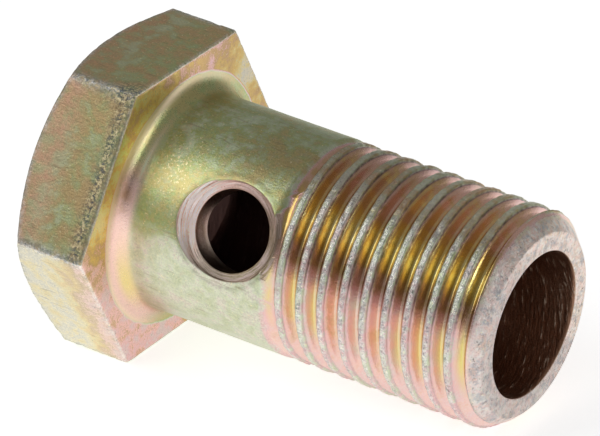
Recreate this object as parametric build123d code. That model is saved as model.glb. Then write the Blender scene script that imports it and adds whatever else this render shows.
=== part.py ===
from build123d import *
import os
from math import atan, cos, floor, radians, sin, tan

# Banjo bolt, M14 x 1.5: one turned piece with a hexagon head, a smooth shank that carries the
# banjo eye, an external thread, and a drilled fuel way that leaves through a cross hole.
#
# It is modelled along its own axis first: Z = 0 is the seat under the head, +Z runs to the
# threaded tip, and +X points at the flat that the bolt lies on. It is laid down at the end.

# ---- Driving dimensions: millimetres and degrees ----

# Hexagon head
hex_sides = 6
across_flats = 18.8
head_height = 5.9
head_top_diameter = 17.5        # flat circle that the chamfer leaves on top
head_chamfer_angle = 30.0       # from the plane of the top
hex_corner_radius = 0.4         # wear on the upright corners
seat_edge_radius = 0.2          # wear on the outline of the seat

# Shank, with the thread cut into the same diameter
shank_diameter = 13.9
neck_radius = 1.3               # hollow fillet between the seat and the shank
length_under_head = 25.5
tip_face_diameter = 11.7
tip_chamfer_angle = 45.0        # from the bolt's axis

# Thread
thread_pitch = 1.5
thread_depth = 0.82
crest_width = 0.38
root_width = 0.2
thread_start = 10.2             # seat to the first mark of the thread
runout_length = 1.6             # the groove deepens from nothing to full over this length
thread_turn = 101.8             # turns the helix about the axis

# Drilled ways
bore_diameter = 9.3
bore_stop = 0.7                 # seat to the end of the bore's straight wall
drill_point_angle = 118.0
cross_hole_diameter = 4.9
cross_hole_station = 7.35       # seat to the axis of the cross hole
cross_hole_turn = -115.4        # about the bolt's axis, from the flat that it lies on
countersink_diameter = 6.6
countersink_angle = 60.0

# How far a cutting tool starts and ends outside the metal
overrun = 0.2

# ---- Sizes that follow ----
half_side_turn = 180 / hex_sides
hex_apothem = across_flats / 2
hex_corner = hex_apothem / cos(radians(half_side_turn))
shank_radius = shank_diameter / 2
root_radius = shank_radius - thread_depth
tip_face_radius = tip_face_diameter / 2
tip_chamfer_length = (shank_radius - tip_face_radius) / tan(radians(tip_chamfer_angle))
tip_chamfer_start = length_under_head - tip_chamfer_length
bore_radius = bore_diameter / 2
drill_point_length = bore_radius / tan(radians(drill_point_angle / 2))
cross_hole_radius = cross_hole_diameter / 2


def turned(*outline):
    """The solid that a closed outline of (radius, height) points sweeps about the bolt's axis."""
    return revolve(Plane.XZ * make_face(Polyline(*outline, close=True)), Axis.Z)


def hexagon_head():
    """Hexagon with a flat at +X, a turned chamfer on top, worn corners and a worn seat outline."""
    outline = Rot(0, 0, half_side_turn) * RegularPolygon(hex_corner, hex_sides)
    head = extrude(Pos(0, 0, -head_height) * outline, head_height)
    head = fillet(head.edges().filter_by(Axis.Z), hex_corner_radius)
    head = fillet(head.faces().sort_by(Axis.Z)[-1].edges(), seat_edge_radius)
    top_radius = head_top_diameter / 2
    reach = hex_corner + overrun
    chamfer_drop = (reach - top_radius) * tan(radians(head_chamfer_angle))
    return head & turned(
        (0, -head_height),
        (top_radius, -head_height),
        (reach, -head_height + chamfer_drop),
        (reach, overrun),
        (0, overrun),
    )


def threaded_shank():
    """Neck fillet and shank with the thread cut in; the tip is faced and chamfered last."""
    spare = 2 * thread_pitch
    neck_start = (shank_radius + neck_radius, 0)
    neck_end = (shank_radius, neck_radius)
    neck = TangentArc(neck_start, neck_end, tangent=(-1, 0))
    side = Polyline(
        neck_end,
        (shank_radius, length_under_head + spare),
        (0, length_under_head + spare),
        (0, 0),
        neck_start,
    )
    blank = revolve(Plane.XZ * make_face([neck, side]), Axis.Z)
    tip_chamfer_slope = tan(radians(tip_chamfer_angle))
    reach = shank_radius + neck_radius + overrun
    faced_and_chamfered = turned(
        (0, 0),
        (reach, 0),
        (reach, length_under_head - (reach - tip_face_radius) / tip_chamfer_slope),
        (tip_face_radius, length_under_head),
        (0, length_under_head),
    )
    return (blank - thread_groove()) & faced_and_chamfered


def thread_groove():
    """The cutter of the whole thread: a helical groove that fades out towards the head."""
    start = thread_start - thread_pitch
    height = length_under_head + thread_pitch - start
    helix = Pos(0, 0, start) * Helix(thread_pitch, height, shank_radius)
    flank_slope = (thread_pitch - crest_width - root_width) / 2 / thread_depth
    outer_width = thread_pitch - crest_width + 2 * overrun * flank_slope
    section = make_face(Polyline(
        (-root_width / 2, -thread_depth),
        (root_width / 2, -thread_depth),
        (outer_width / 2, overrun),
        (-outer_width / 2, overrun),
        close=True,
    ))
    outward = Vector(1, 0, 0)
    forward = helix % 0
    across = Plane(origin=helix @ 0, x_dir=outward.cross(forward), z_dir=forward)
    groove = sweep(across * section, path=helix, is_frenet=True)
    outside = shank_radius + 2 * overrun
    uncut = turned(
        (0, start - thread_pitch),
        (outside, start - thread_pitch),
        (outside, thread_start),
        (shank_radius, thread_start),
        (root_radius, thread_start + runout_length),
        (0, thread_start + runout_length),
    )
    return Rot(0, 0, thread_turn) * (groove - uncut)


def fuel_way():
    """The bore with its drill point, and the countersunk cross hole through both walls."""
    mouth = length_under_head + overrun
    bore = turned(
        (0, bore_stop - drill_point_length),
        (bore_radius, bore_stop),
        (bore_radius, mouth),
        (0, mouth),
    )
    reach = shank_radius + overrun
    sink_slope = tan(radians(countersink_angle / 2))
    sink_radius = countersink_diameter / 2 + overrun * sink_slope
    sink_depth = (sink_radius - cross_hole_radius) / sink_slope
    drill = Cylinder(cross_hole_radius, 2 * reach)
    for turn_over in (0, 180):
        sink = Cone(cross_hole_radius, sink_radius, sink_depth)
        drill += Rot(turn_over, 0, 0) * Pos(0, 0, reach - sink_depth / 2) * sink
    drill = Pos(0, 0, cross_hole_station) * Rot(0, 0, cross_hole_turn) * Rot(0, 90, 0) * drill
    return bore + drill


def laid_down(bolt):
    """The bolt as it comes to rest: on the edge of one flat and on a crest near the tip."""
    first_crest = thread_start + thread_pitch * (1 / 2 - thread_turn / 360)
    crests = floor((tip_chamfer_start - crest_width / 2 - first_crest) / thread_pitch)
    touching_crest = first_crest + crests * thread_pitch + crest_width / 2
    tilt = atan((hex_apothem - shank_radius) / touching_crest)
    down = (-sin(tilt), 0, -cos(tilt))
    along = (cos(tilt), 0, -sin(tilt))
    resting = Plane(origin=(0, 0, 0), x_dir=down, z_dir=along).location * bolt
    box = resting.bounding_box()
    return Pos(-box.center().X, -box.center().Y, -box.min.Z) * resting


banjo_bolt = hexagon_head() + threaded_shank() - fuel_way()
banjo_bolt = laid_down(banjo_bolt)
banjo_bolt.label = "banjo_bolt"

os.makedirs("parts", exist_ok=True)
export_step(banjo_bolt, "parts/banjo_bolt.step")
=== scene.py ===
import bmesh
import bpy
import numpy as np
from math import atan, cos, floor, pi, radians, sin, tan
from mathutils import Matrix, Vector, noise


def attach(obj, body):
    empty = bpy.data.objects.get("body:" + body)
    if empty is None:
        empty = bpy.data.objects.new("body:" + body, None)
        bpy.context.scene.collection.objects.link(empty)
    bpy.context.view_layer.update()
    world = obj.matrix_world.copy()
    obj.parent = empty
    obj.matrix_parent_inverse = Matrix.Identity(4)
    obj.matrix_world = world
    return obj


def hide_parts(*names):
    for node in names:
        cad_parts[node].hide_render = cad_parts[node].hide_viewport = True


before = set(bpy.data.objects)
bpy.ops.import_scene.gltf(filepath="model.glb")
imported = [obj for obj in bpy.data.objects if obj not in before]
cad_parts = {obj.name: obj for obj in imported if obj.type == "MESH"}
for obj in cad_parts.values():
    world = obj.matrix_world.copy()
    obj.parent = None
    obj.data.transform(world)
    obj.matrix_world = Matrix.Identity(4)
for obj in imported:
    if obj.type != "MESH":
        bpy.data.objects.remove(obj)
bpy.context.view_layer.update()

# The bolt's own sizes, in millimetres and degrees. Its own frame has z along the axis from the
# seat under the head (0) to the tip, and turns measured from the flat that it lies on.
MM = 0.001
ACROSS_FLATS = 18.8
HEAD_HEIGHT = 5.9
HEAD_TOP_RADIUS = 8.75
HEAD_CHAMFER_ANGLE = 30.0
CORNER_RADIUS = 0.4
SEAT_EDGE_RADIUS = 0.2
SHANK_RADIUS = 6.95
NECK_RADIUS = 1.3
LENGTH = 25.5
TIP_FACE_RADIUS = 5.85
PITCH = 1.5
THREAD_DEPTH = 0.82
CREST_WIDTH = 0.38
ROOT_WIDTH = 0.2
THREAD_START = 10.2
RUNOUT_LENGTH = 1.6
THREAD_TURN = 101.8
BORE_RADIUS = 4.65
BORE_STOP = 0.7
DRILL_POINT_ANGLE = 118.0
HOLE_RADIUS = 2.54
HOLE_STATION = 7.35
HOLE_TURN = -115.4
SINK_RADIUS = 3.48
SINK_WALL_ANGLE = 30.0      # from the hole's axis
SINK_FLOOR = 0.86           # below the shank's crown

APOTHEM = ACROSS_FLATS / 2
TIP_CHAMFER_START = LENGTH - (SHANK_RADIUS - TIP_FACE_RADIUS)
ROOT_RADIUS = SHANK_RADIUS - THREAD_DEPTH

# Softening that the solid does without
ROOT_ROUNDING = 0.28
CREST_ROUNDING = 0.06
LAP_OFFSET = -0.49          # from the groove's middle to the fine line beside each crest
LAP_WIDTH = 0.035
LAP_DEPTH = 0.05

# Wear: how deep, and how many features of its noise to a millimetre
GENERAL_WEAR = 0.012
EDGE_WEAR = 0.05
NICK_DEPTH = 0.12
STRIP_WEAR = 0.10
COARSE_SCALE = 0.7
FINE_SCALE = 2.6
NICK_SCALE = 1.9

# How near to a surface counts as on it, and below which height a point belongs to the seat
TOUCH = 0.02
SEAT_LIMIT = 0.001

# Places that the finish keeps to. A side is a turn in degrees from the one that faces the viewer,
# FRONT, and above 0 further down; heights are along the bolt's axis.
FRONT = -123.8
UPPER_FLAT, FRONT_FLAT, LOWER_FLAT = 3, 4, 5
NECK_STREAK_SIDE = 6
NECK_STREAK_HEIGHT = 0.34
NECK_GLINT_HEIGHT = 0.72
CORNER_PATCH_TURN = -150        # the battered corner between the upper and the front flat
CORNER_PATCH_HEIGHT = -0.6

# ---- Helpers that the shape and the finish share ----
def near(value, middle, width):
    """1 at the middle, falling smoothly to 0 about a width away."""
    return np.exp(-((value - middle) / width) ** 2)


def step(value, low, high):
    """0 below low, 1 above high, smooth between."""
    t = np.clip((value - low) / (high - low), 0, 1)
    return t * t * (3 - 2 * t)


def stops(value, *pairs):
    """Straight lines through (value, result) pairs."""
    values, results = zip(*pairs)
    return np.interp(value, values, results)


def flat_number(turn):
    """The head's flats by steps of 60 degrees, from the one that the bolt lies on."""
    return np.round(np.degrees(turn) / 60) % 6


# ---- The mesh: rings of COLUMNS points about the axis, with a ring-shaped grid at each hole ----
COLUMNS = 288
TURNS = np.radians(HOLE_TURN) + np.arange(COLUMNS) * 2 * pi / COLUMNS


def smooth_max(a, b, k):
    """The larger of a and b, with the change-over rounded over a width k."""
    h = np.clip(0.5 + 0.5 * (a - b) / k, 0, 1)
    return b * (1 - h) + a * h + k * h * (1 - h)


def smooth_min(a, b, k):
    return -smooth_max(-a, -b, k)


def groove_offset(turn, z):
    """Distance along the axis from the middle of the nearest turn of the thread's groove."""
    middle = THREAD_START - PITCH + PITCH * (turn / (2 * pi) - THREAD_TURN / 360)
    return (z - middle + PITCH / 2) % PITCH - PITCH / 2


def shank_radius_at(turn, z):
    """Radius of the outside between the neck and the tip face, with thread, run-out and chamfer."""
    half_open = (PITCH - CREST_WIDTH) / 2
    slope = (half_open - ROOT_WIDTH / 2) / THREAD_DEPTH
    depth = (half_open - np.abs(groove_offset(turn, z))) / slope
    depth = smooth_min(depth, THREAD_DEPTH, ROOT_ROUNDING)
    depth = np.maximum(smooth_max(depth, 0.0, CREST_ROUNDING) - CREST_ROUNDING / 4, 0.0)
    depth = depth + LAP_DEPTH * near(groove_offset(turn, z), LAP_OFFSET, LAP_WIDTH)
    runout = THREAD_DEPTH * (z - THREAD_START) / RUNOUT_LENGTH
    depth = np.minimum(depth, np.maximum(runout, 0.0))
    chamfer = SHANK_RADIUS - (z - TIP_CHAMFER_START)
    return np.minimum(SHANK_RADIUS - depth, chamfer)


def neck_and_shank_radius(turn, z):
    inside = np.clip(NECK_RADIUS - z, 0, NECK_RADIUS)
    neck = SHANK_RADIUS + NECK_RADIUS - np.sqrt(NECK_RADIUS ** 2 - inside ** 2)
    return np.where(z < NECK_RADIUS, neck, shank_radius_at(turn, z))


def points(radius, turn, z):
    radius, turn, z = np.broadcast_arrays(radius, turn, z)
    return np.stack([radius * np.cos(turn), radius * np.sin(turn), z], axis=-1).astype(float)


class Skin:
    """Collects grids of points, then welds them into one closed mesh."""

    def __init__(self):
        self.points = []
        self.faces = []
        self.count = 0

    def add(self, grid):
        """Adds the points of a grid and returns their numbers."""
        grid = np.asarray(grid, float)
        flat = grid.reshape(-1, 3)
        numbers = self.count + np.arange(len(flat)).reshape(grid.shape[:-1])
        self.points.append(flat)
        self.count += len(flat)
        return numbers

    def sheet(self, grid, closed=False, keep=None):
        """Quads over a grid of rows and columns, whose face normals are rows cross columns."""
        n = self.add(grid)
        if closed:
            n = np.concatenate([n, n[:, :1]], axis=1)
        quads = np.stack([n[:-1, :-1], n[1:, :-1], n[1:, 1:], n[:-1, 1:]], axis=-1)
        if keep is not None:
            quads = quads[keep]
        self.faces += quads.reshape(-1, 4).tolist()

    def halve(self, many, few):
        """Triangles from a ring to one of half as many points."""
        a, b = self.add(many), self.add(few)
        for i in range(len(b)):
            a0, a1, a2 = a[2 * i], a[2 * i + 1], a[(2 * i + 2) % len(a)]
            b0, b1 = b[i], b[(i + 1) % len(b)]
            self.faces += [[a0, b0, a1], [a1, b0, b1], [a1, b1, a2]]

    def centre(self, ring, middle):
        """Triangles from a ring to one point."""
        a, m = self.add(ring), self.add([middle])
        self.faces += [[a[i], m[0], a[(i + 1) % len(a)]] for i in range(len(a))]

    def cap(self, rings, height_at, flip=False):
        """Closes a surface with (radius, every so many turns) rings, from the outside to the axis."""
        for (r0, step0), (r1, step1) in zip(rings, rings[1:]):
            outer = points(r0, TURNS[::step0], height_at(r0))
            inner = points(r1, TURNS[::step1], height_at(r1))
            if step0 != step1:
                self.halve(outer, inner)
            elif flip:
                self.sheet([inner, outer], closed=True)
            else:
                self.sheet([outer, inner], closed=True)
        self.centre(inner, (0, 0, height_at(0)))

    def welded(self):
        """Points and faces, with points that coincide made one and empty faces dropped."""
        every = np.concatenate(self.points)
        _, first, number = np.unique(
            np.round(every, 5), axis=0, return_index=True, return_inverse=True)
        number = number.reshape(-1)
        faces = []
        for face in self.faces:
            ring = []
            for k in face:
                if number[k] not in ring:
                    ring.append(int(number[k]))
            if len(ring) > 2:
                faces.append(ring)
        return every[first], faces


def hexagon_radius(turn):
    """Distance from the axis to the hexagon's outline, with its rounded corners, at a turn."""
    side = pi / 3
    from_flat = (turn + side / 2) % side - side / 2
    corner = side / 2
    centre_distance = (APOTHEM - CORNER_RADIUS) / cos(corner)
    from_corner = corner - np.abs(from_flat)
    flat = APOTHEM / np.cos(from_flat)
    across = centre_distance * np.sin(from_corner)
    round_part = centre_distance * np.cos(from_corner)
    round_part = round_part + np.sqrt(np.maximum(CORNER_RADIUS ** 2 - across ** 2, 0))
    tangent_from_corner = corner - atan(centre_distance * sin(corner) / APOTHEM)
    return np.where(from_corner < tangent_from_corner, round_part, flat)


def towards_corners(turn, share):
    """Moves evenly spaced turns towards the hexagon's corners."""
    return turn + share / 6 * np.sin(6 * turn)


# (radius, every so many turns) of the rings that close the head's top and the drill point
HEAD_CAP = ((5.2, 1), (4.3, 2), (3.2, 2), (2.5, 4), (1.7, 4), (1.2, 8), (0.6, 8))
DRILL_POINT_CAP = ((3.0, 1), (2.4, 2), (1.8, 2), (1.2, 4), (0.7, 8))
HEAD_SIDE_ROWS = 30


def add_head(skin):
    """Head top, chamfer, sides and seat, as far as the start of the neck."""
    rings = []
    turn = towards_corners(TURNS, 0.62)
    outline = hexagon_radius(turn)
    slope = tan(radians(HEAD_CHAMFER_ANGLE))
    cap_radius = HEAD_CAP[0][0]
    for radius in (cap_radius, 6.0, 6.8, 7.5, 8.1, 8.5, 8.68):
        share = (radius - cap_radius) / (HEAD_TOP_RADIUS - cap_radius)
        rings.append(points(radius, TURNS + share * (turn - TURNS), -HEAD_HEIGHT))
    for share in (0.02, 0.12, 0.3, 0.5, 0.7, 0.88, 0.98):
        radius = HEAD_TOP_RADIUS + share * (outline - HEAD_TOP_RADIUS)
        z = -HEAD_HEIGHT + (radius - HEAD_TOP_RADIUS) * slope
        rings.append(points(radius, turn, z))
    top = -HEAD_HEIGHT + (outline - HEAD_TOP_RADIUS) * slope
    bottom = -SEAT_EDGE_RADIUS
    for k in range(HEAD_SIDE_ROWS + 1):
        share = (k + 0.15) / (HEAD_SIDE_ROWS + 0.15)
        z = top + (bottom - top) * share
        rings.append(points(outline, turn, z))
    for angle in (30, 60, 90):
        radius = outline - SEAT_EDGE_RADIUS * (1 - cos(radians(angle)))
        rings.append(points(radius, turn, bottom * (1 - sin(radians(angle)))))
    neck_start = SHANK_RADIUS + NECK_RADIUS
    for share in (0.12, 0.28, 0.46, 0.64, 0.82, 1.0):
        radius = (outline - SEAT_EDGE_RADIUS) * (1 - share) + neck_start * share
        rings.append(points(radius, turn * (1 - share) + TURNS * share, 0.0))
    skin.sheet(rings, closed=True)
    skin.cap(HEAD_CAP, lambda radius: -HEAD_HEIGHT, flip=True)


# The rectangles of columns and rows about each hole that give way to a ring-shaped grid, outside
# and in the bore; both have as many points round them
OUTER_HALF_COLUMNS = 26
OUTER_ROWS = np.concatenate([np.linspace(3.7, 10.0, 41), np.linspace(10.0, 11.2, 11)[1:]])
INNER_HALF_COLUMNS = 32
INNER_ROWS = np.linspace(HOLE_STATION - 3.2, HOLE_STATION + 3.2, 2 * OUTER_HALF_COLUMNS
                         + len(OUTER_ROWS) - 2 * INNER_HALF_COLUMNS)
THREAD_GRID_START = OUTER_ROWS[-1]

# Rings over the floor of the hole's mouth: share of the way in, height of a tool mark
MOUTH_FLOOR_RINGS = ((0.04, 0.0), (0.2, 0.05), (0.34, 0.0), (0.52, 0.05), (0.68, 0.0), (0.84, 0.03),
                     (0.97, -0.03))
RIM_ROUNDS = 30             # repeats until the rim's reach settles

# Rows of the thread's grid in each turn, from the middle of the groove along the axis
THREAD_ROWS = (-0.75, -0.61, -0.55, -0.51, -0.47, -0.42, -0.3, -0.13, 0.02, 0.15, 0.3, 0.45, 0.54,
               0.62)
THINNEST_ROW = 0.025


def block_edge(half_columns, rows):
    """(column, height) of the points round a rectangle, from the middle of its low side."""
    low, high = rows[0], rows[-1]
    edge = [(c, low) for c in range(0, half_columns)]
    edge += [(half_columns, z) for z in rows]
    edge += [(c, high) for c in range(half_columns - 1, -half_columns, -1)]
    edge += [(-half_columns, z) for z in rows[::-1]]
    edge += [(c, low) for c in range(-half_columns + 1, 0)]
    columns, heights = np.array(edge).T
    return columns * 2 * pi / COLUMNS, heights


def add_hole(skin, facing):
    """One side of the cross hole: the skin about it, stepped mouth, wall and the skin in the bore."""
    out_turn, out_z = block_edge(OUTER_HALF_COLUMNS, OUTER_ROWS)
    in_turn, in_z = block_edge(INNER_HALF_COLUMNS, INNER_ROWS)
    about = np.arctan2(out_turn * SHANK_RADIUS, out_z - HOLE_STATION)
    sink_slope = tan(radians(SINK_WALL_ANGLE))
    base = radians(HOLE_TURN) + facing
    reach = np.full(len(about), SINK_RADIUS)
    for _ in range(RIM_ROUNDS):
        side = reach * np.sin(about)
        z = HOLE_STATION + reach * np.cos(about)
        surface = shank_radius_at(base + np.arcsin(side / SHANK_RADIUS), z)
        height = np.sqrt(surface ** 2 - side ** 2)
        reach = SINK_RADIUS + (height - SHANK_RADIUS) * sink_slope
    rim_turn = np.arctan2(reach * np.sin(about), height)
    rim_z = HOLE_STATION + reach * np.cos(about)
    rings = []
    for share in (0.0, 0.25, 0.5, 0.72, 0.88, 0.96):
        turn = base + out_turn * (1 - share) + rim_turn * share
        z = out_z * (1 - share) + rim_z * share
        rings.append(points(shank_radius_at(turn, z), turn, z))
    sink_floor = SHANK_RADIUS - SINK_FLOOR
    wall_foot = SINK_RADIUS - SINK_FLOOR * sink_slope
    for share in (0.05, 0.5, 0.92):
        rings.append(in_hole(reach * (1 - share) + wall_foot * share,
                             height * (1 - share) + sink_floor * share, about, base))
    for share, tool_mark in MOUTH_FLOOR_RINGS:
        radius = wall_foot * (1 - share) + HOLE_RADIUS * share
        rings.append(in_hole(radius, sink_floor + tool_mark, about, base))
    bore_rim = np.sqrt(BORE_RADIUS ** 2 - (HOLE_RADIUS * np.sin(about)) ** 2)
    for share in (0.07, 0.35, 0.65, 0.95):
        height = sink_floor * (1 - share) + bore_rim * share
        rings.append(in_hole(HOLE_RADIUS, height, about, base))
    inner_rim_turn = np.arctan2(HOLE_RADIUS * np.sin(about), bore_rim)
    inner_rim_z = HOLE_STATION + HOLE_RADIUS * np.cos(about)
    for share in (0.05, 0.3, 0.65, 1.0):
        turn = base + inner_rim_turn * (1 - share) + in_turn * share
        z = inner_rim_z * (1 - share) + in_z * share
        rings.append(points(BORE_RADIUS, turn, z))
    skin.sheet(np.array(rings)[::-1], closed=True)


def in_hole(radius, height, about, base):
    """Points at a radius from the cross hole's axis and a height from the bolt's axis."""
    side = radius * np.sin(about)
    z = HOLE_STATION + radius * np.cos(about)
    return np.stack([height * cos(base) - side * sin(base),
                     height * sin(base) + side * cos(base), z + 0 * height], axis=-1)


def add_pierced_rows(skin, radius_at, rows, half_columns, outward):
    """A closed grid with a gap for each hole."""
    radius = radius_at(TURNS[None, :], rows[:, None])
    grid = points(radius, TURNS[None, :], rows[:, None])
    column = np.arange(COLUMNS)
    from_hole = (column + COLUMNS // 4) % (COLUMNS // 2) - COLUMNS // 4
    outside = (from_hole >= half_columns) | (from_hole < -half_columns)
    keep = np.broadcast_to(outside, (len(rows) - 1, COLUMNS))
    if not outward:
        grid = grid[::-1]
    skin.sheet(grid, closed=True, keep=keep)


def add_shank(skin):
    """Neck and shank, with both mouths of the cross hole, as far as the thread's own grid."""
    neck_z = NECK_RADIUS * (1 - np.cos(np.radians(np.linspace(0, 90, 11))))
    rows = np.concatenate([neck_z, np.linspace(NECK_RADIUS, OUTER_ROWS[0], 13)[1:]])
    radius = neck_and_shank_radius(TURNS[None, :], rows[:, None])
    skin.sheet(points(radius, TURNS[None, :], rows[:, None]), closed=True)
    add_pierced_rows(skin, shank_radius_at, OUTER_ROWS, OUTER_HALF_COLUMNS, True)
    for facing in (0, pi):
        add_hole(skin, facing)


def add_thread(skin):
    """Rows that follow the helix, cut off level at both ends, and the tip. Returns its last ring."""
    low, high = THREAD_GRID_START, LENGTH - (ROOT_RADIUS - TIP_FACE_RADIUS)
    turn = TURNS[0] + np.arange(COLUMNS + 1) * 2 * pi / COLUMNS
    middle = THREAD_START - PITCH + PITCH * (turn / (2 * pi) - THREAD_TURN / 360)
    first = floor((low - middle[0]) / PITCH) - 2
    last = floor((high - middle[0]) / PITCH) + 2
    rows = [middle + k * PITCH + offset for k in range(first, last) for offset in THREAD_ROWS]
    z = np.clip(np.array(rows), low, high)
    z[z - low < THINNEST_ROW] = low
    z[high - z < THINNEST_ROW] = high
    z[:-len(THREAD_ROWS), -1] = z[len(THREAD_ROWS):, 0]
    turn = np.concatenate([TURNS, TURNS[:1]])[None, :] + 0 * z
    skin.sheet(points(shank_radius_at(turn, z), turn, z))
    rings = []
    for z in (high, high + 0.1, high + 0.2, LENGTH - 0.03):
        rings.append(points(SHANK_RADIUS - (z - TIP_CHAMFER_START), TURNS, z))
    for share in (0.03, 0.15, 0.3, 0.5, 0.7, 0.85, 0.97):
        rings.append(points(TIP_FACE_RADIUS * (1 - share) + BORE_RADIUS * share, TURNS, LENGTH))
    skin.sheet(rings, closed=True)
    return rings[-1]


def drill_point_height(radius):
    return BORE_STOP - (BORE_RADIUS - radius) / tan(radians(DRILL_POINT_ANGLE / 2))


def add_bore(skin, last_ring):
    """The bore, from the tip's last ring past the cross hole to the drill point."""
    rows = [LENGTH - 0.04, LENGTH - 0.3, *np.linspace(LENGTH - 0.8, INNER_ROWS[-1], 12)]
    skin.sheet([last_ring] + [points(BORE_RADIUS, TURNS, z) for z in rows], closed=True)
    add_pierced_rows(skin, lambda turn, z: BORE_RADIUS, INNER_ROWS, INNER_HALF_COLUMNS, False)
    rings = [points(BORE_RADIUS, TURNS, z) for z in np.linspace(INNER_ROWS[0], BORE_STOP, 6)]
    rings += [points(r, TURNS, drill_point_height(r)) for r in (4.6, 4.2, 3.6, DRILL_POINT_CAP[0][0])]
    skin.sheet(rings, closed=True)
    skin.cap(DRILL_POINT_CAP, drill_point_height)


# ---- Wear ----
def from_head_edge(p):
    """Distances from the head's upright corners, the seat's outline and the chamfer's outline."""
    x, y, z = p.T
    radius = np.hypot(x, y)
    turn = np.arctan2(y, x)
    outline = hexagon_radius(turn)
    top = -HEAD_HEIGHT + (outline - HEAD_TOP_RADIUS) * tan(radians(HEAD_CHAMFER_ANGLE))
    corner = pi / 6 - np.abs((turn + pi / 6) % (pi / 3) - pi / 6)
    to_corner = radius * np.sin(corner) + 3 * (outline - radius)
    to_seat = np.hypot(z, outline - radius)
    to_top = np.hypot(z - top, outline - radius)
    return to_corner, to_seat, to_top


def worn(p):
    """Moves points inwards by shallow dents, nicks on edges and the roughness of the crests."""
    x, y, z = p.T
    radius = np.hypot(x, y)
    outside = (radius > BORE_RADIUS + 0.05) * (z < LENGTH - TOUCH)
    to_corner, to_seat, to_top = from_head_edge(p)
    below_top = z > -HEAD_HEIGHT + TOUCH
    on_head = (z < -TOUCH) & below_top
    edges = [near(to_corner, 0, 0.5), near(to_seat, 0, 0.35), near(to_top, 0, 0.35)]
    edge = np.maximum.reduce(edges) * on_head
    strip = on_head * (flat_number(np.arctan2(y, x)) == FRONT_FLAT) * near(z, -0.65, 0.45)
    crest = step(z, THREAD_START + 0.4, THREAD_START + 1.0)
    crest = crest * step(radius, SHANK_RADIUS - 0.25, SHANK_RADIUS - 0.05)
    coarse, fine, nicks = (np.array([noise.noise(Vector(q) * scale) for q in p.tolist()])
                           for scale in (COARSE_SCALE, FINE_SCALE, NICK_SCALE))
    depth = GENERAL_WEAR * (1 + coarse) * outside * below_top
    depth = depth + EDGE_WEAR * edge * np.clip(fine + 0.2, 0, 1)
    depth = depth + NICK_DEPTH * edge * np.clip(nicks - 0.25, 0, 1)
    depth = depth + STRIP_WEAR * strip * np.clip(fine + 0.1, 0, 1)
    depth = depth + EDGE_WEAR * crest * np.clip(fine + 0.25, 0, 1)
    depth = depth + NICK_DEPTH * crest * np.clip(nicks - 0.2, 0, 1)
    shrink = 1 - depth / np.maximum(radius, 1.0)
    return np.stack([x * shrink, y * shrink, z], axis=-1)


# ---- Where the bolt lies ----
def resting_turn():
    """Turns the bolt's own frame onto one flat's edge and the crest near the tip that touches."""
    first_crest = THREAD_START + PITCH * (1 / 2 - THREAD_TURN / 360)
    crests = floor((TIP_CHAMFER_START - CREST_WIDTH / 2 - first_crest) / PITCH)
    touching_crest = first_crest + crests * PITCH + CREST_WIDTH / 2
    tilt = atan((APOTHEM - SHANK_RADIUS) / touching_crest)
    down = Vector((-sin(tilt), 0, -cos(tilt)))
    along = Vector((cos(tilt), 0, -sin(tilt)))
    return np.array(Matrix((down, along.cross(down), along)).transposed())


def banjo_bolt_skin():
    """Points in the bolt's own frame and faces of the whole bolt, before any wear."""
    skin = Skin()
    add_head(skin)
    add_shank(skin)
    last_ring = add_thread(skin)
    add_bore(skin, last_ring)
    return skin.welded()


def place(vertices):
    """Lays the bolt down in metres, with its box centred as the CAD box is, on the floor."""
    laid = vertices @ resting_turn().T
    low, high = laid.min(0), laid.max(0)
    middle = (low + high) / 2
    laid -= (middle[0], middle[1], low[2])
    return laid * MM


# ---- What the finish follows: numbers per point, most of them from 0 to 1 ----
def turn_from(degrees, middle):
    """Signed turn from a middle, in degrees."""
    return (degrees - middle + 180) % 360 - 180


def blend(a, b, share):
    return a * (1 - share) + b * share


def from_hole_axis(p):
    """Along the cross hole, across it, and from its axis towards the tip, in millimetres."""
    x, y, z = p.T
    turn = radians(HOLE_TURN)
    return x * cos(turn) + y * sin(turn), -x * sin(turn) + y * cos(turn), z - HOLE_STATION


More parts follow.
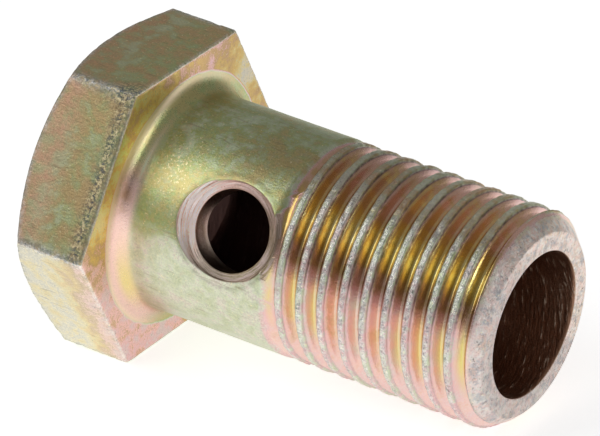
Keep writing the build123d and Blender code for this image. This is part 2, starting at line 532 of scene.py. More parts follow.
class Places:
    """Where the points are: turns, heights and distances, and regions that run from 0 to 1."""

    def __init__(self, p):
        self.z = p[:, 2]
        self.radius = np.hypot(p[:, 0], p[:, 1])
        self.turn = np.arctan2(p[:, 1], p[:, 0])
        self.degrees = np.degrees(self.turn)
        self.side = turn_from(self.degrees, FRONT)
        self.inside = (self.radius < BORE_RADIUS + TOUCH) & (self.z > -HEAD_HEIGHT + 1)
        self.find_head(p)
        self.find_shank()
        self.find_hole(p)

    def find_head(self, p):
        self.head = (self.z <= SEAT_LIMIT) & ~self.inside
        self.seat = self.head & (self.z > -TOUCH)
        to_outline = hexagon_radius(self.turn) - self.radius
        self.on_side = self.head & ~self.seat & (to_outline < 0.12)
        self.on_top = self.head & ~self.seat & ~self.on_side
        self.flat = flat_number(self.turn)
        self.front, self.upper, self.lower = (self.on_side & (self.flat == flat)
                                              for flat in (FRONT_FLAT, UPPER_FLAT, LOWER_FLAT))
        self.to_corner, self.to_seat, self.to_top = from_head_edge(p)

    def find_shank(self):
        past_start = self.z - THREAD_START
        past_chamfer = self.z - TIP_CHAMFER_START
        depth = np.clip((SHANK_RADIUS - self.radius) / THREAD_DEPTH, 0, 1)
        self.flank = groove_offset(self.turn, self.z)
        self.shank = (self.z > SEAT_LIMIT) & ~self.inside
        self.neck = self.shank * (1 - step(self.z, 0.65, 1.25))
        self.thread = step(past_start, -0.1, 0.5) * self.shank
        self.smooth = self.shank * (1 - self.thread)
        self.groove = self.thread * step(depth, 0.05, 0.3) * (1 - step(past_chamfer, 0.2, 0.7))
        self.before_tip = 1 - step(past_chamfer, -0.1, 0.4)
        self.crest = self.thread * (1 - step(depth, 0.03, 0.22)) * self.before_tip
        self.crest = self.crest * (1 - step(PITCH / 2 - np.abs(self.flank), 0.12, 0.2))
        self.tip = step(past_chamfer, 0.1, 0.5) * ~self.inside * (1 - self.groove)
        self.low_side = step(self.side, 5, 22) * (1 - step(self.side, 52, 75))

    def find_hole(self, p):
        along, across, upward = from_hole_axis(p)
        self.along_hole = np.abs(along)
        self.from_hole = np.hypot(across, upward)
        self.about_hole = np.degrees(np.arctan2(across, upward))
        crown = np.sqrt(np.maximum(SHANK_RADIUS ** 2 - across ** 2, 0))
        close = (self.from_hole < SINK_RADIUS + 0.2) & (self.z < THREAD_START + 0.6)
        self.mouth = (self.shank & close & (crown - self.along_hole > TOUCH)).astype(float)
        self.drilled = self.mouth * (self.from_hole < HOLE_RADIUS + TOUCH)


def head_film(at):
    """Stage of the chromate on the head's sides, top and seat."""
    front = stops(at.z, (-5.6, 0.94), (-2.8, 0.87), (-1.0, 0.92))
    upper = stops(at.z, (-6.0, 0.92), (-3.5, 0.87), (0.0, 0.94))
    lower = stops(at.z, (-6.0, 0.16), (-2.8, 0.15), (-0.5, 0.50))
    top = stops(at.radius, (0, 0.87), (4.5, 0.91), (8.7, 0.94), (9.8, 0.72))
    seat = stops(at.side, (-180, 0.7), (-100, 0.14), (-75, 0.48), (-50, 0.36), (-20, 0.31),
                 (26, 0.28), (42, 0.5), (120, 0.53), (150, 0.2), (180, 0.7))
    film = np.select([at.flat == k for k in range(6)], [0.86, 0.82, 0.94, upper, front, lower])
    film = np.where(at.on_top, top, film)
    return np.where(at.seat, seat, film)


def groove_film_and_gleam(at):
    """Stage of the chromate in the thread's grooves: above, below and behind as the viewer sees it. The
    gold stages a little above the front side are a painted highlight, and the brown stages above and
    just below them a painted dark reflection.
    """
    z, side = at.z, at.side
    high = stops(side, (-180, 0.56), (-85, 0.56), (-60, 0.42), (-30, 0.38), (-20, 0.27), (-8, 0.25),
                 (3, 0.40), (180, 0.46))
    high = high + 0.05 * np.sin(2.3 * z + 2.0) * near(side, -45, 30)
    low = 0.55 + 0.05 * np.sin(1.9 * z + 1.0)
    back = 0.44 + 0.14 * np.sin(1.7 * z + 3 * at.turn)
    film = blend(high, low, at.low_side)
    film = blend(film, 0.55, step(side, 52, 75))
    return blend(film, back, step(np.abs(side), 85, 110))


def film_stage(at):
    """Stage of the chromate, from 0 (nearly clear) over yellow, pink and green to 1 (olive)."""
    shank = stops(at.side, (-180, 0.8), (-70, 0.88), (-25, 0.86), (-5, 0.93), (15, 0.93), (28, 0.74),
                  (75, 0.76), (180, 0.8))
    shank = shank - 0.05 * near(at.side, -50, 20) * (1 - step(at.z, 4, 8))
    neck = stops(at.side, (-180, 0.9), (-60, 0.94), (110, 0.94), (180, 0.9))
    crest = stops(at.side, (-180, 0.64), (-70, 0.84), (-30, 0.76), (-6, 0.70), (20, 0.65), (180, 0.64))
    film = np.where(at.head, head_film(at), shank)
    film = blend(film, neck, at.neck)
    film = blend(film, groove_film_and_gleam(at), at.groove)
    film = np.where(at.thread * (1 - at.groove) > 0.3, crest, film)
    film = blend(film, 0.52, at.mouth)
    return blend(film, 0.56, at.tip)


def wear_masks(at):
    """Where the finish is rubbed off, battered or glossy, and where painted shade darkens the crease
    beside each crest, with a darker line round each mouth's rim.
    """
    z, side = at.z, at.side
    edges = [near(at.to_corner, 0, 0.34), 0.9 * near(at.to_seat, 0, 0.14),
             0.8 * near(at.to_top, 0, 0.22)]
    crest = at.crest * stops(side, (-180, 0.6), (-90, 0.3), (-38, 0.35), (-16, 0.95), (40, 0.85),
                             (70, 0.55), (180, 0.6))
    early = 1 - step(z, THREAD_START + 0.9, THREAD_START + 1.8)
    crest = crest * (1 - early * step(side, 0, 20))
    bare = np.maximum.reduce([np.maximum.reduce(edges) * at.head, crest, 0.8 * at.tip, 0.1 * at.mouth])
    from_patch = np.hypot(turn_from(at.degrees, CORNER_PATCH_TURN) / 6, (z - CORNER_PATCH_HEIGHT) / 1.5)
    battered = np.maximum(at.front * near(z, -0.62, 0.42), near(from_patch, 0, 0.9) * at.on_side)
    gloss = at.groove + 0.35 * at.mouth + 0.6 * near(z, 0.5, 0.6) * at.shank
    # Painted shade in the fine crease beside each crest, weaker on the lower side
    lap = near(at.flank, LAP_OFFSET, 0.05) * step(z, THREAD_START + 0.6, THREAD_START + 1.6)
    lap = lap * at.before_tip * at.shank * (1 - 0.75 * step(side, 4, 24))
    # A darker line round each mouth's rim
    rim = near(at.from_hole, SINK_RADIUS, 0.10) * (at.along_hole > BORE_RADIUS + 0.3) * at.shank
    return {
        "bare": np.clip(bare, 0, 1),
        "crest": crest,
        "battered": battered,
        "gloss": np.clip(gloss, 0, 1),
        "lap_shade_and_rim_line": np.clip(lap + 0.4 * rim, 0, 1),
    }


def painted_highlight_and_gleam(at):
    """Painted highlights on the neck's rims, a glint on the neck and a pale line in the lower grooves;
    and the gold painted gleam in the grooves, with the yellow on the neck's lower side.
    """
    z, side = at.z, at.side
    above = step(-side, -2, 8) * (1 - step(-side, 80, 110)) * (1 - 0.45 * step(-side, 40, 60))
    below = step(side, -14, -2) * (1 - step(side, 80, 110))
    # Painted highlights: a pale line along the neck's outer rim and along its lower edge, a glint high
    # on the neck, and a pale line at the tip-side edge of the lower grooves.
    painted_highlight = above * near(z, 0.05, 0.11) + 0.7 * below * near(z, 0.0, 0.05)
    painted_highlight = painted_highlight + 0.8 * above * near(z, NECK_GLINT_HEIGHT, 0.18) * near(side, -14, 18)
    painted_highlight = painted_highlight * at.shank + 0.9 * near(at.flank, 0.44, 0.07) * at.groove * at.low_side
    # The gold streaks in the lower grooves and the band a little above the front are painted gleam; the
    # yellow on the neck's lower side is a tint.
    strength = stops(z, (10.0, 0.3), (11.0, 0.9), (13.6, 1.0), (15.0, 0.3), (18.6, 0.35), (20.0, 0.8),
                     (24.0, 1.0))
    middle = stops(z, (11.0, 26), (14.0, 38), (20.0, 40), (24.0, 30))
    gold = strength * near(at.flank, -0.10, 0.19) * near(side, middle, 22) * at.low_side
    gold = gold + 0.4 * near(side, -8, 9) * step(z, 14, 19)
    lime_and_gleam = gold * at.groove + 0.75 * at.neck * step(z, 0.08, 0.45) * near(side, 56, 20)
    return np.clip(painted_highlight, 0, 1), lime_and_gleam


def tint_masks(at):
    """Where colours of their own lie over the film's, and where light is painted: highlights, gleam in
    the grooves, the floor's reflection on the lower sides, and brown as a dark reflection on the upper
    grooves.
    """
    z, side = at.z, at.side
    smooth = at.smooth * (1 - at.neck)
    painted_highlight, lime_and_gleam = painted_highlight_and_gleam(at)
    rosy = at.front * stops(z, (-4.0, 0.85), (-2.6, 0.1))
    rosy = rosy + 0.4 * at.upper * stops(z, (-5.0, 1), (-2.0, 0.3))
    pink = at.neck * step(side, -12, 4) * (1 - step(side, 85, 115)) + 0.6 * at.mouth * (1 - at.drilled)
    warm = 0.4 * at.front + at.upper * stops(z, (-6.0, 0.75), (-2.5, 0.4))
    warm = warm + at.neck * near(side, NECK_STREAK_SIDE, 14) * near(z, NECK_STREAK_HEIGHT, 0.24)
    # Brown on the upper side of the grooves: painted dark reflection of what lies above.
    warm = warm + 0.5 * at.groove * step(-side, 22, 45)
    warm = warm + 0.8 * at.thread * (1 - at.groove) * step(-side, 18, 36)
    warm = warm + 0.3 * smooth * near(side, -35, 30) * step(z, 4, 7)
    # Paler on the lower sides of the shank, the lower flat and the lower grooves: painted reflection of
    # the floor. Paler on the tip too.
    pale = 0.6 * smooth * step(side, 14, 32) + 0.5 * at.lower + 0.35 * at.tip
    pale = np.clip(pale + 0.3 * at.groove * step(side, 45, 70), 0, 1)
    mottled = at.smooth * (1 - at.mouth) * (1 - at.neck) + 0.5 * at.on_side * (1 - at.lower)
    return {
        "painted_highlight": painted_highlight,
        "lime_and_gleam": lime_and_gleam,
        "rosy": rosy,
        "pink": pink,
        "warm": np.clip(np.clip(warm, 0, 1) + 0.8 * at.drilled, 0, 1),
        "pale": pale,
        "olive": at.mouth * near(turn_from(at.about_hole, 35), 0, 75),
        "specked": at.shank * near(z, 2.6, 1.3) * near(side, -14, 16),
        "mottled": np.clip(mottled, 0, 1),
    }


def tone_and_painted_light(at):
    """What the colour is multiplied by, around 1. Mostly painted light and shade: a darker front flat, a
    lighter upper flat, a lit seat and seat edge, highlights on the shank and the neck, dark bands in the
    grooves, lit mouth floors and darker holes. Also a darker end face with a ring beside the bore, a
    darker streak on the neck and a lighter upper thread towards the tip.
    """
    z, side = at.z, at.side
    shank = at.smooth * (1 - at.mouth)
    end_face = z > LENGTH - 0.05
    left_of_mouth = 1.2 * near(turn_from(at.about_hole, 185), 0, 55) - 0.2
    left_of_mouth = left_of_mouth * at.mouth * (1 - at.drilled)
    return np.prod([
        # Painted shade on the front flat and painted light on the upper flat
        np.select([at.front, at.upper], [0.72, 1.2], 1.0),
        # Painted light on the seat's front, painted shade on its top
        1 + at.seat * (0.5 * near(side, -5, 30) - 0.2 * step(-side, 65, 85)),
        # Painted highlight along the seat's edge on the front
        1 + 0.5 * near(at.to_seat, 0, 0.12) * at.head * near(side, 0, 60),
        1 + 0.3 * at.thread * step(-side, 25, 50) * step(z, 15, 20),
        1 - end_face * (0.12 + 0.3 * near(at.radius, BORE_RADIUS + 0.3, 0.06)),
        # Painted highlight on the shank near the neck, a little darker below
        1 + shank * (0.2 * near(z, 4.0, 3.0) * near(side, -25, 35) - 0.04 * step(side, 20, 35)),
        1 + 0.06 * shank * near(z, 3, 2) * near(side, 25, 15)
        # Painted glint high on the neck
        + 0.5 * at.neck * near(side, -8, 9) * near(z, NECK_GLINT_HEIGHT, 0.2),
        1 - 0.6 * at.neck * near(side, NECK_STREAK_SIDE, 12) * near(z, NECK_STREAK_HEIGHT, 0.20)
        # Lighter on the neck's lower side; painted dark reflections in the grooves about the front side
        + 0.15 * at.neck * near(side, 22, 20) - 0.18 * at.groove * near(side, -6, 16),
        1 - 0.25 * at.groove * near(side, 6, 9),
        # Painted light on each mouth's floor left of the hole and painted shade in the hole; darker on
        # one side of the mouth
        1 + left_of_mouth - 0.35 * at.mouth * near(at.about_hole, 105, 32) - 0.3 * at.drilled,
    ], axis=0)


def finish_masks(p):
    """The finish's numbers per point, by the names that the material reads."""
    at = Places(p)
    return {
        **wear_masks(at),
        **tint_masks(at),
        "film": film_stage(at),
        "tone_and_painted_light": tone_and_painted_light(at),
        "tip": at.tip,
        "mouth": at.mouth * (1 - at.drilled),
        "bore": at.inside.astype(float),
        # Painted shade deeper in the bore, towards the head
        "deep": at.inside * (1 - step(at.z, 11.0, 20.0)),
    }


def ringed(p):
    """Coordinates whose noise lies in rings round the cross hole, as its tool marks do."""
    along, across, upward = from_hole_axis(p)
    reach = np.hypot(across, upward)
    return np.stack([reach * 1.6 + along * 0.8, 0.25 * across / reach, 0.25 * upward / reach], axis=-1)


def bolt_mesh():
    """The bolt worn and laid down, with the numbers and the coordinates that its material reads."""
    vertices, faces = banjo_bolt_skin()
    mesh = bpy.data.meshes.new("banjo_bolt_body")
    mesh.from_pydata(place(worn(vertices)).tolist(), [], faces)
    for name, values in finish_masks(vertices).items():
        attribute = mesh.attributes.new(name, "FLOAT", "POINT")
        attribute.data.foreach_set("value", values.astype(np.float32))
    for name, vectors in (("in_bolt", vertices), ("ringed", ringed(vertices))):
        attribute = mesh.attributes.new(name, "FLOAT_VECTOR", "POINT")
        attribute.data.foreach_set("vector", vectors.astype(np.float32).ravel())
    facing = bmesh.new()
    facing.from_mesh(mesh)
    bmesh.ops.recalc_face_normals(facing, faces=facing.faces)
    facing.to_mesh(mesh)
    facing.free()
    for polygon in mesh.polygons:
        polygon.use_smooth = True
    return mesh


bolt = bpy.data.objects.new("banjo_bolt_body", bolt_mesh())
bpy.context.scene.collection.objects.link(bolt)
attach(bolt, "root")
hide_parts("banjo_bolt")


# ---- Material ----
class Nodes:
    """Short names for the shader nodes used here."""

    def __init__(self, owner):
        owner.use_nodes = True
        self.tree = owner.node_tree
        self.tree.nodes.clear()

    def put(self, socket, value):
        if isinstance(value, bpy.types.NodeSocket):
            self.tree.links.new(value, socket)
        else:
            socket.default_value = value

    def new(self, kind, **inputs):
        node = self.tree.nodes.new("ShaderNode" + kind)
        for name, value in inputs.items():
            self.put(node.inputs[name.replace("_", " ")], value)
        return node

    def math(self, operation, a, b=0.0):
        node = self.tree.nodes.new("ShaderNodeMath")
        node.operation = operation
        self.put(node.inputs[0], a)
        self.put(node.inputs[1], b)
        return node.outputs[0]

    def chain(self, operation, first, *others):
        for other in others:
            first = self.math(operation, first, other)
        return first

    def times(self, *factors):
        return self.chain("MULTIPLY", *factors)

    def plus(self, *terms):
        return self.chain("ADD", *terms)

    def most(self, *values):
        return self.chain("MAXIMUM", *values)

    def span(self, value, low, high, to_low=0.0, to_high=1.0):
        """Maps low..high to to_low..to_high, clamped."""
        node = self.tree.nodes.new("ShaderNodeMapRange")
        for k, v in enumerate((value, low, high, to_low, to_high)):
            self.put(node.inputs[k], v)
        return node.outputs[0]

    def fade(self, mask, at_none, at_full):
        """Goes from at_none to at_full as a mask goes from 0 to 1."""
        return self.span(mask, 0.0, 1.0, at_none, at_full)

    def mix(self, share, a, b, blend="MIX"):
        node = self.tree.nodes.new("ShaderNodeMix")
        node.data_type = "RGBA"
        node.blend_type = blend
        for socket, value in ((0, share), (6, a), (7, b)):
            self.put(node.inputs[socket], (*value, 1) if isinstance(value, tuple) else value)
        return node.outputs[2]

    def shaded(self, colour, factor):
        grey = self.new("CombineXYZ", X=factor, Y=factor, Z=factor)
        return self.mix(1.0, colour, grey.outputs[0], "MULTIPLY")

    def attribute(self, name, output="Fac"):
        node = self.tree.nodes.new("ShaderNodeAttribute")
        node.attribute_name = name
        return node.outputs[output]

    def ramp(self, value, colours):
        node = self.tree.nodes.new("ShaderNodeValToRGB")
        self.put(node.inputs[0], value)
        while len(node.color_ramp.elements) < len(colours):
            node.color_ramp.elements.new(0.5)
        for element, (position, colour) in zip(node.color_ramp.elements, colours):
            element.position = position
            element.color = (*colour, 1)
        return node.outputs[0]

    def scaled(self, vector, *scale):
        node = self.tree.nodes.new("ShaderNodeMapping")
        self.put(node.inputs["Vector"], vector)
        node.inputs["Scale"].default_value = scale
        return node.outputs[0]

    def noise(self, vector, scale, detail=3.0, roughness=0.55):
        node = self.tree.nodes.new("ShaderNodeTexNoise")
        self.put(node.inputs["Vector"], vector)
        node.inputs["Scale"].default_value = scale
        node.inputs["Detail"].default_value = detail
        node.inputs["Roughness"].default_value = roughness
        return node.outputs["Fac"]


# The film's own colours, by its stage
CHROMATE_STAGES = (
    (0.00, (0.58, 0.60, 0.60)),
    (0.12, (0.80, 0.72, 0.54)),
    (0.22, (0.82, 0.68, 0.32)),
    (0.31, (0.80, 0.55, 0.18)),
    (0.40, (0.62, 0.40, 0.20)),
    (0.51, (0.87, 0.54, 0.49)),
    (0.57, (0.82, 0.53, 0.53)),
    (0.63, (0.75, 0.59, 0.57)),
    (0.74, (0.66, 0.72, 0.53)),
    (0.86, (0.44, 0.52, 0.23)),
    (1.00, (0.57, 0.50, 0.22)),
)

# Tints over the film. The cream is a painted highlight, the lime partly a painted gleam in the grooves
# and the pale partly the floor's painted reflection.
ROSY = (0.84, 0.52, 0.38)
PINK = (0.90, 0.61, 0.54)
WARM = (0.62, 0.35, 0.20)
PALE_AND_FLOOR_GLEAM = (0.80, 0.79, 0.64)
LIME_AND_GLEAM = (0.82, 0.70, 0.22)
HIGHLIGHT_CREAM = (0.94, 0.76, 0.54)
MOSS = (0.50, 0.58, 0.38)
RUST = (0.58, 0.42, 0.27)

# Bare metal on edges and crests, and the patches on the tip
DULL_SILVER = (0.23, 0.25, 0.26)
BRIGHT_SILVER = (0.95, 0.94, 0.89)
TIP_GREY = (0.38, 0.42, 0.46)
TIP_LIGHT = (0.82, 0.80, 0.76)
TIP_PINK = (0.88, 0.68, 0.65)

# Damage, pits and the painted shade beside the crests
DENT_DARK = (0.16, 0.17, 0.18)
DENT_GLEAM = (0.98, 0.82, 0.50)
GLINT = (0.98, 0.86, 0.56)
SCUFF = (0.30, 0.24, 0.14)
PIT_AND_SHADE_DARK = (0.06, 0.05, 0.035)

# The bore and the mouths of the cross hole
BORE_WALL = (0.46, 0.26, 0.17)
BORE_SCRATCH = (0.95, 0.78, 0.62)
# The bore's painted shade further in
BORE_PAINTED_SHADE = (0.16, 0.10, 0.09)
MOUTH_OLIVE = (0.40, 0.34, 0.14)
MOUTH_LINE_DARK = (0.22, 0.15, 0.11)
MOUTH_LINE_LIGHT = (0.97, 0.76, 0.70)


class Chromate(Nodes):
    """The nodes of the finish, with the noises and masks that several of its steps share."""

    def __init__(self, material):
        super().__init__(material)
        self.place = self.attribute("in_bolt", "Vector")
        self.broad = self.noise(self.place, 0.33, 2.0)
        self.patch = self.noise(self.place, 1.3, 4.0, 0.6)
        self.grain = self.noise(self.place, 8.0, 4.0, 0.65)
        self.streak = self.noise(self.scaled(self.place, 1.0, 1.0, 0.25), 6.0, 3.0, 0.6)
        self.rubbing = self.noise(self.place, 3.6, 5.0, 0.72)
        self.frost = self.noise(self.place, 6.5, 4.0, 0.75)
        self.dents = self.noise(self.place, 5.0, 4.0, 0.7)
        self.rings = self.noise(self.attribute("ringed", "Vector"), 4.5, 4.0, 0.7)
        self.gloss = self.attribute("gloss")
        self.crest = self.attribute("crest")
        self.tip = self.attribute("tip")
        self.mouth = self.attribute("mouth")
        self.bore = self.attribute("bore")
        self.rubbed = self.times(self.attribute("bare"), self.span(self.rubbing, 0.38, 0.58, 0.2, 1.0))
        self.battered = self.times(self.attribute("battered"),
                                   self.span(self.rubbing, 0.36, 0.50, 0.3, 1.0))
        across_bore = self.new("VectorRotate", Vector=self.place, Axis=(0.556, 0.831, 0.0), Angle=0.3)
        self.bore_lines = self.noise(self.scaled(across_bore.outputs[0], 0.14, 0.14, 1.0), 6.0, 3.0, 0.6)
        self.scratch = self.times(self.bore, self.span(self.bore_lines, 0.59, 0.66),
                                  self.span(self.rubbing, 0.40, 0.56, 0.15, 1.0))
        self.pits_and_shade = self.find_pits_and_shade()

    def find_pits_and_shade(self):
        """Pits in the film, on the crests and on the tip, painted shade in the crease beside each crest,
        and a darker line round each mouth's rim.
        """
        pits = self.span(self.noise(self.place, 5.0, 4.0, 0.75), 0.66, 0.72)
        crest_pits = self.span(self.noise(self.place, 2.2, 5.0, 0.75), 0.56, 0.66, 0.0, 0.7)
        tip_pits = self.span(self.noise(self.place, 3.4, 5.0, 0.8), 0.57, 0.65, 0.0, 0.65)
        lap_shade_and_rim_line = self.times(self.attribute("lap_shade_and_rim_line"), self.span(self.rubbing, 0.35, 0.6, 0.55, 1.0))
        return self.most(self.times(pits, self.fade(self.gloss, 0.7, 0.1)),
                         self.times(self.crest, crest_pits), self.times(self.tip, tip_pits), lap_shade_and_rim_line)


def film_colour(n):
    """The film: its stage drifts about, tints, the floor's painted reflection and mottling lie over it,
    and fine grain shades it.
    """
    drift = n.plus(n.span(n.broad, 0.3, 0.7, -0.10, 0.10), n.span(n.patch, 0.3, 0.7, -0.12, 0.12),
                   n.span(n.grain, 0.3, 0.7, -0.08, 0.08))
    drift = n.math("MINIMUM", n.math("MAXIMUM", drift, -0.08), 0.10)
    film = n.plus(n.attribute("film"), n.times(drift, n.fade(n.gloss, 1.0, 0.5)))
    colour = n.ramp(film, CHROMATE_STAGES)
    uneven = n.span(n.plus(n.patch, n.times(n.grain, 0.4)), 0.55, 0.85, 0.35, 1.0)
    colour = n.mix(n.times(n.attribute("rosy"), uneven), colour, ROSY)
    colour = n.mix(n.attribute("pink"), colour, PINK)
    mottled = n.attribute("mottled")
    moss = n.span(n.noise(n.place, 1.9, 5.0, 0.7), 0.50, 0.60, 0.0, 0.45)
    rust = n.span(n.noise(n.place, 2.47, 5.0, 0.7), 0.54, 0.64, 0.0, 0.35)
    colour = n.mix(n.times(mottled, moss), colour, MOSS)
    colour = n.mix(n.times(mottled, rust), colour, RUST)
    warm = n.times(n.attribute("warm"), n.span(n.plus(n.patch, n.broad), 0.85, 1.15, 0.15, 1.0))
    colour = n.mix(warm, colour, WARM)
    # Painted reflection of the floor on the lower sides, and a paler tip
    pale = n.times(n.attribute("pale"), n.span(n.grain, 0.3, 0.65, 0.4, 1.0))
    colour = n.mix(pale, colour, PALE_AND_FLOOR_GLEAM)
    shade = n.span(n.plus(n.times(n.grain, 0.8), n.times(n.streak, 0.2)), 0.3, 0.7, 0.80, 1.17)
    shade = n.plus(n.times(shade, n.fade(n.gloss, 1.0, 0.25)), n.fade(n.gloss, 0.0, 0.75))
    return n.shaded(colour, shade)


def bare_metal(n, colour):
    """Silver where the film is rubbed off: frosted, and in patches on the tip."""
    frosted = n.span(n.plus(n.times(n.frost, 0.65), n.times(n.patch, 0.35)), 0.40, 0.57)
    silver = n.mix(frosted, DULL_SILVER, BRIGHT_SILVER)
    cast = n.noise(n.place, 1.1, 4.0, 0.65)
    patchy = n.mix(n.span(cast, 0.42, 0.50), TIP_GREY, TIP_LIGHT)
    patchy = n.mix(n.span(cast, 0.54, 0.60, 0.0, 0.8), patchy, TIP_PINK)
    silver = n.mix(n.times(n.tip, 0.8), silver, patchy)
    return n.mix(n.rubbed, colour, silver)


def damage(n, colour):
    """Dents of the battered places, glints, scuffs along the bolt, pits, painted shade beside the crests
    and a darker line round each mouth's rim.
    """
    colour = n.mix(n.times(n.battered, n.span(n.dents, 0.42, 0.52, 1.0, 0.2)), colour, DENT_DARK)
    colour = n.mix(n.times(n.battered, n.span(n.dents, 0.52, 0.58)), colour, DENT_GLEAM)
    glint_limit = n.fade(n.attribute("specked"), 0.64, 0.56)
    above_limit = n.math("SUBTRACT", n.noise(n.place, 6.5, 3.0, 0.6), glint_limit)
    glints = n.times(n.span(above_limit, 0.0, 0.05), n.fade(n.gloss, 0.75, 0.0))
    colour = n.mix(glints, colour, GLINT)
    scuffs = n.noise(n.scaled(n.place, 1.0, 1.0, 0.12), 5.0, 2.0, 0.5)
    scuffs = n.times(n.span(scuffs, 0.64, 0.70, 0.0, 0.35), n.fade(n.gloss, 1.0, 0.2))
    colour = n.mix(scuffs, colour, SCUFF)
    return n.mix(n.pits_and_shade, colour, PIT_AND_SHADE_DARK)


def holes(n, colour):
    """Lines of the tools in the mouths of the cross hole, and the brown, scratched bore, darkened deeper
    in by painted shade.
    """
    colour = n.mix(n.times(n.attribute("olive"), 0.7), colour, MOUTH_OLIVE)
    dark_lines = n.times(n.mouth, n.span(n.rings, 0.54, 0.61, 0.0, 0.7))
    light_lines = n.times(n.mouth, n.span(n.rings, 0.42, 0.50, 0.9, 0.0))
    colour = n.mix(dark_lines, colour, MOUTH_LINE_DARK)
    colour = n.mix(light_lines, colour, MOUTH_LINE_LIGHT)
    # Painted light and shade, with some darker marks, multiplied in
    colour = n.shaded(colour, n.attribute("tone_and_painted_light"))
    wall = n.mix(n.scratch, BORE_WALL, BORE_SCRATCH)
    # Painted shade deeper in the bore
    return n.mix(n.bore, colour, n.mix(n.attribute("deep"), wall, BORE_PAINTED_SHADE))


def chromate():
    """Yellow chromate over zinc: its colour drifts with the film, is worn off edges and speckled, and
    carries painted highlights, gleam, shade and the floor's reflection.
    """
    material = bpy.data.materials.new("yellow_chromate")
    n = Chromate(material)
    colour = damage(n, bare_metal(n, film_colour(n)))
    # Gold painted gleam in the grooves, and yellow on the neck
    colour = n.mix(n.attribute("lime_and_gleam"), colour, LIME_AND_GLEAM)
    # Painted highlights on the neck and at the grooves' edges
    colour = n.mix(n.attribute("painted_highlight"), colour, HIGHLIGHT_CREAM)
    colour = holes(n, colour)
    matte = n.plus(n.span(n.grain, 0.3, 0.7, 0.30, 0.44), n.times(n.crest, -0.13))
    glossy = n.span(n.patch, 0.3, 0.7, 0.17, 0.27)
    roughness = n.plus(n.times(matte, n.fade(n.gloss, 1.0, 0.0)), n.times(glossy, n.gloss))
    height = n.plus(
        n.times(n.grain, n.fade(n.gloss, 0.8, 0.2)),
        n.times(n.streak, 0.3),
        n.times(n.pits_and_shade, -0.5),
        n.times(n.battered, n.dents, 1.5),
        n.times(n.rubbed, n.frost, 1.4),
        n.times(n.bore, n.bore_lines, 2.0),
        n.times(n.mouth, n.rings, -2.0),
    )
    bump = n.new("Bump", Strength=0.42, Distance=0.00006, Height=height)
    metallic = n.math("SUBTRACT", 1.0, n.most(n.times(n.scratch, 0.75), n.times(n.mouth, 0.4)))
    shader = n.new("BsdfPrincipled", Base_Color=colour, Metallic=metallic,
                   Roughness=roughness, Normal=bump.outputs[0])
    n.new("OutputMaterial", Surface=shader.outputs[0])
    return material


bolt.data.materials.append(chromate())

# ---- Camera ----
CAMERA_AIM = (-0.712, -0.222, 10.092)       # millimetres
CAMERA_DISTANCE = 390.5
CAMERA_AZIMUTH = 34.98
CAMERA_ELEVATION = 26.07
CAMERA_ROLL = -2.87
LENS = 386.6


def add_camera():
    azimuth, elevation = radians(CAMERA_AZIMUTH), radians(CAMERA_ELEVATION)
    back = Vector((sin(azimuth) * cos(elevation), -cos(azimuth) * cos(elevation), sin(elevation)))
    camera = bpy.data.objects.new("camera", bpy.data.cameras.new("camera"))
    camera.data.lens = LENS
    camera.data.sensor_width = 36.0
    camera.location = (Vector(CAMERA_AIM) + back * CAMERA_DISTANCE) * MM
    level = (-back).to_track_quat("-Z", "Y").to_matrix()
    roll = Matrix.Rotation(radians(CAMERA_ROLL), 3, "Z")
    camera.rotation_euler = (level @ roll).to_euler()
    camera.data.clip_start = 0.01
    bpy.context.scene.collection.objects.link(camera)
    bpy.context.scene.camera = camera


add_camera()


# ---- Floor and light ----
FLOOR_HALF = 0.6


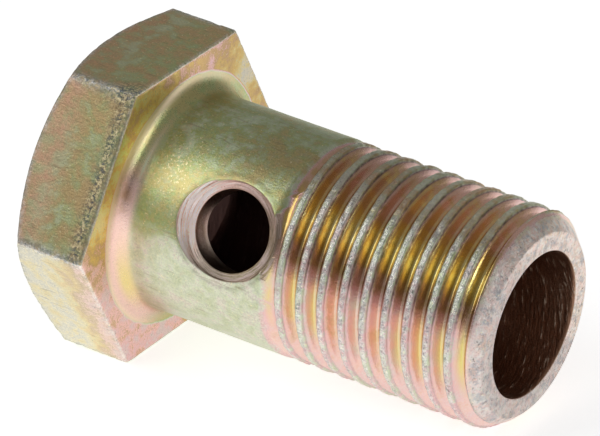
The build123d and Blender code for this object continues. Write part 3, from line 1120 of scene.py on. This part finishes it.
def add_floor():
    """A pale sheet that stays white to the eye, dims with distance in reflections, keeps shadows."""
    floor_mesh = bpy.data.meshes.new("floor")
    h = FLOOR_HALF
    floor_mesh.from_pydata([(-h, -h, 0), (h, -h, 0), (h, h, 0), (-h, h, 0)], [], [(0, 1, 2, 3)])
    material = bpy.data.materials.new("pale_floor")
    n = Nodes(material)
    diffuse = n.new("BsdfDiffuse", Color=(0.86, 0.86, 0.86, 1))
    path = n.new("LightPath")
    mirrored = n.math("MAXIMUM", path.outputs["Is Glossy Ray"], path.outputs["Is Transmission Ray"])
    from_middle = n.new("VectorMath", Vector=n.new("TexCoord").outputs["Object"])
    from_middle.operation = "LENGTH"
    falloff = n.span(from_middle.outputs["Value"], 0.05, 0.22, 0.66, 0.12)
    strength = n.plus(n.times(path.outputs["Is Camera Ray"], 0.70), n.times(mirrored, falloff))
    glow = n.new("Emission", Color=(1, 1, 1, 1), Strength=strength)
    both = n.new("AddShader")
    n.put(both.inputs[0], diffuse.outputs[0])
    n.put(both.inputs[1], glow.outputs[0])
    n.new("OutputMaterial", Surface=both.outputs[0])
    floor_mesh.materials.append(material)
    floor_object = bpy.data.objects.new("floor", floor_mesh)
    bpy.context.scene.collection.objects.link(floor_object)


def add_world():
    """Bright low down in front, dim overhead and behind; plain white to the eye."""
    world = bpy.data.worlds.new("studio")
    bpy.context.scene.world = world
    n = Nodes(world)
    parts = n.new("SeparateXYZ", Vector=n.new("TexCoord").outputs["Generated"])
    low_down = n.span(parts.outputs["Z"], 0.0, 0.5, 1.0, 0.0)
    in_front = n.span(parts.outputs["Y"], -0.5, 0.3, 1.0, 0.0)
    level = n.plus(n.times(n.times(low_down, in_front), 0.17), 0.26)
    seen = n.new("LightPath").outputs["Is Camera Ray"]
    strength = n.math("MAXIMUM", level, seen)
    background = n.new("Background", Color=(1, 1, 1, 1), Strength=strength)
    n.new("OutputWorld", Surface=background.outputs[0])


def add_light(name, azimuth, elevation, distance, width, height, radiance):
    """A soft box that faces the bolt; azimuth 0 stands towards -Y, 90 towards +X."""
    a, e = radians(azimuth), radians(elevation)
    out = Vector((sin(a) * cos(e), -cos(a) * cos(e), sin(e)))
    lamp = bpy.data.lights.new(name, "AREA")
    lamp.shape = "RECTANGLE"
    lamp.size = width
    lamp.size_y = height
    lamp.energy = radiance * pi * width * height
    light = bpy.data.objects.new(name, lamp)
    light.location = out * distance
    light.rotation_euler = (-out).to_track_quat("-Z", "Y").to_euler()
    bpy.context.scene.collection.objects.link(light)


add_floor()
add_world()
add_light("soft_box_left", -44, 44, 0.4, 0.30, 0.24, 1.7)
add_light("strip_right", 98, 12, 0.5, 0.16, 0.10, 4.5)
bpy.context.scene.view_settings.view_transform = "Standard"
